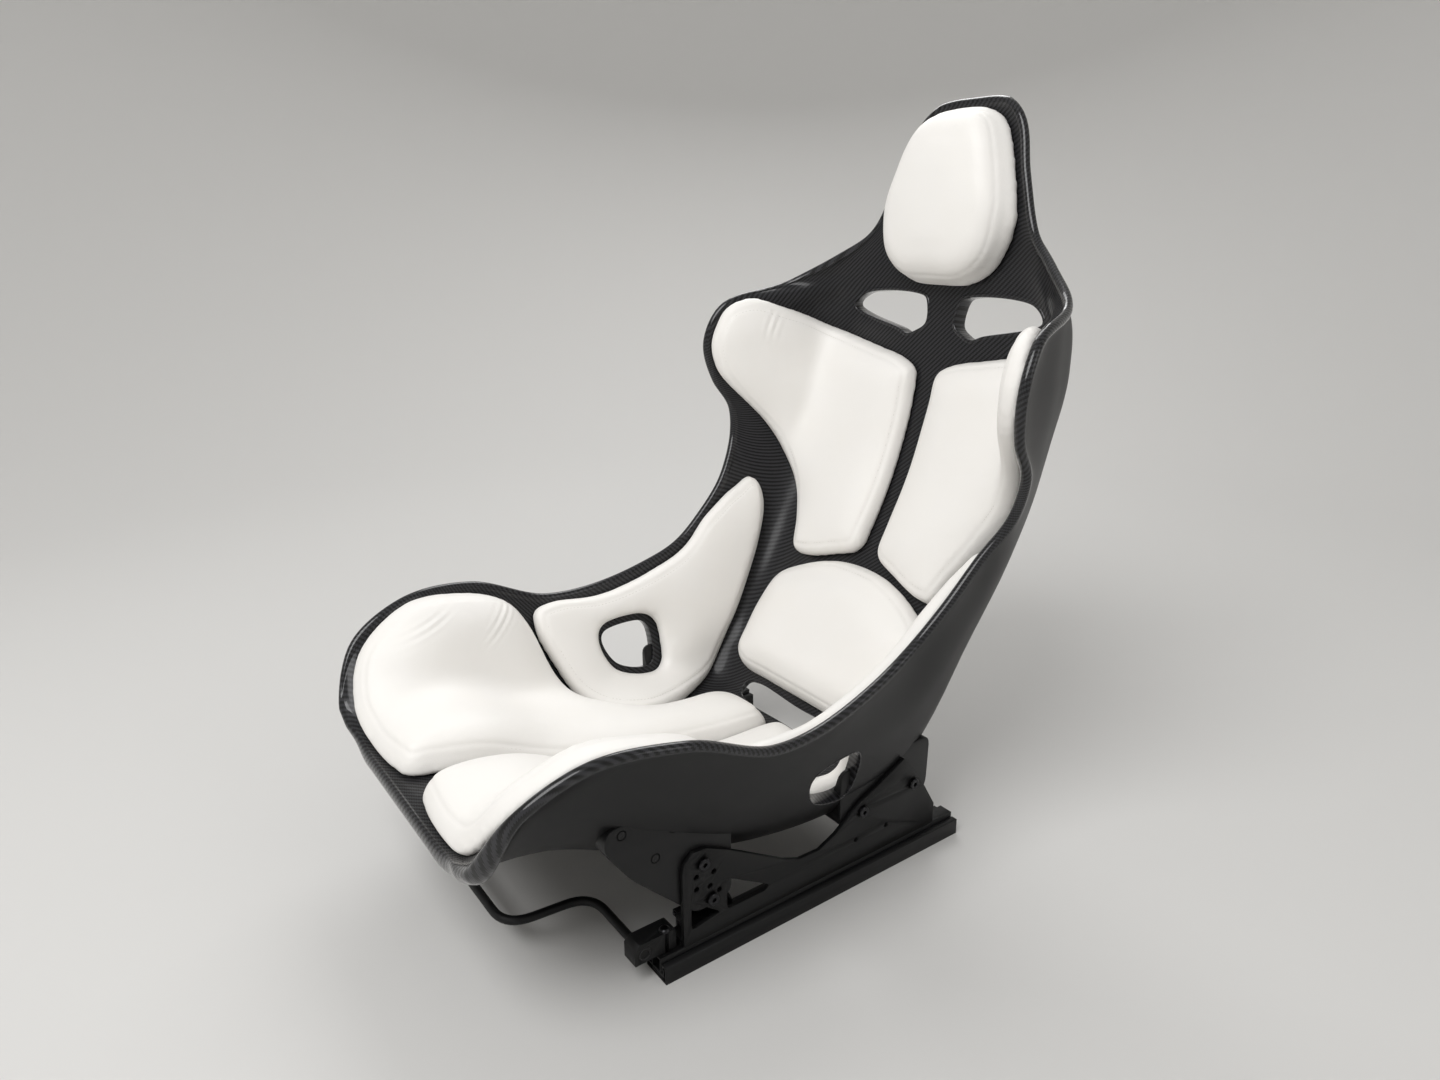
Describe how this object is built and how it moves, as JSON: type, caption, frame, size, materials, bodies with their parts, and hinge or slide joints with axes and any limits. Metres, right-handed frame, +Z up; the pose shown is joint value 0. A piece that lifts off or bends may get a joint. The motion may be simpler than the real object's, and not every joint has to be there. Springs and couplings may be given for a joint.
{
  "type": "racing seat",
  "caption": "One-piece laminated bucket seat with separate leather pads and belt openings, on cut-out side mounts and sliding floor rails with a release bar.",
  "frame": {"origin": "on the floor, under the middle of the seat's overall width and depth", "axes": "+Z up, -Y the way the sitter faces, +X the sitter's left"},
  "size_m": [0.585, 0.8457, 0.8935],
  "materials": {
    "carbon_laminate": "black carbon twill under satin-gloss clear resin",
    "white_leather": "white smooth leather",
    "black_coated_steel": "black powder coat",
    "zinc_plated_steel": "zinc plated",
    "black_nylon": "moulded black nylon"
  },
  "bodies": {
    "floor_rails": {"lower_rail_left": "black_coated_steel", "lower_rail_right": "black_coated_steel"},
    "cage_left": {"roller_cage_left": "zinc_plated_steel"},
    "cage_right": {"roller_cage_right": "zinc_plated_steel"},
    "seat": {"seat_shell": "carbon_laminate", "head_pad": "white_leather", "lumbar_pad": "white_leather", "shoulder_pad_left": "white_leather", "shoulder_pad_right": "white_leather", "hip_pad_left": "white_leather", "hip_pad_right": "white_leather", "thigh_pad_left": "white_leather", "thigh_pad_right": "white_leather", "side_mount_left": "black_coated_steel", "side_mount_right": "black_coated_steel", "mount_bolt_1_left": "zinc_plated_steel", "mount_bolt_2_left": "zinc_plated_steel", "mount_bolt_3_left": "zinc_plated_steel", "mount_bolt_4_left": "zinc_plated_steel", "mount_bolt_1_right": "zinc_plated_steel", "mount_bolt_2_right": "zinc_plated_steel", "mount_bolt_3_right": "zinc_plated_steel", "mount_bolt_4_right": "zinc_plated_steel", "thread_insert_1_left": "zinc_plated_steel", "thread_insert_2_left": "zinc_plated_steel", "thread_insert_3_left": "zinc_plated_steel", "thread_insert_1_right": "zinc_plated_steel", "thread_insert_2_right": "zinc_plated_steel", "thread_insert_3_right": "zinc_plated_steel", "upper_rail_left": "black_coated_steel", "upper_rail_right": "black_coated_steel", "foot_bolt_1_left": "zinc_plated_steel", "foot_bolt_2_left": "zinc_plated_steel", "foot_bolt_1_right": "zinc_plated_steel", "foot_bolt_2_right": "zinc_plated_steel", "pivot_block_left": "black_coated_steel", "pivot_block_right": "black_coated_steel", "block_screw_left": "zinc_plated_steel", "block_screw_right": "zinc_plated_steel", "handle_bush_left": "black_nylon", "handle_bush_right": "black_nylon", "latch_bracket_left": "black_coated_steel", "latch_bracket_right": "black_coated_steel", "latch_pin_left": "zinc_plated_steel", "latch_pin_right": "zinc_plated_steel"},
    "handle": {"release_handle": "black_coated_steel"},
    "latch_left": {"latch_plate_left": "zinc_plated_steel"},
    "latch_right": {"latch_plate_right": "zinc_plated_steel"}
  },
  "joints": [
    {"name": "seat_slide", "type": "slide", "parent": "floor_rails", "child": "seat", "axis": [0, 1, 0], "range_m": [-0.1, 0.1]},
    {"name": "cage_slide_left", "type": "slide", "parent": "floor_rails", "child": "cage_left", "axis": [0, 1, 0], "range_m": [-0.05, 0.05]},
    {"name": "cage_slide_right", "type": "slide", "parent": "floor_rails", "child": "cage_right", "axis": [0, 1, 0], "range_m": [-0.05, 0.05]},
    {"name": "handle_lift", "type": "hinge", "parent": "seat", "child": "handle", "pos_m": [0, -0.25, 0.0368], "axis": [-1, 0, 0], "range_deg": [0, 12], "stiffness_Nm_per_rad": 0.8, "springref_deg": -28.65},
    {"name": "latch_turn_left", "type": "hinge", "parent": "seat", "child": "latch_left", "pos_m": [0.1855, -0.16, 0.04], "axis": [0, 1, 0], "range_deg": [0, 12]},
    {"name": "latch_turn_right", "type": "hinge", "parent": "seat", "child": "latch_right", "pos_m": [-0.1855, -0.16, 0.04], "axis": [0, -1, 0], "range_deg": [0, 12]}
  ],
  "couplings": [
    {"joint": "cage_slide_left", "follows": "seat_slide", "ratio": 0.5},
    {"joint": "cage_slide_right", "follows": "seat_slide", "ratio": 0.5},
    {"joint": "latch_turn_left", "follows": "handle_lift", "ratio": 1},
    {"joint": "latch_turn_right", "follows": "handle_lift", "ratio": 1}
  ]
}
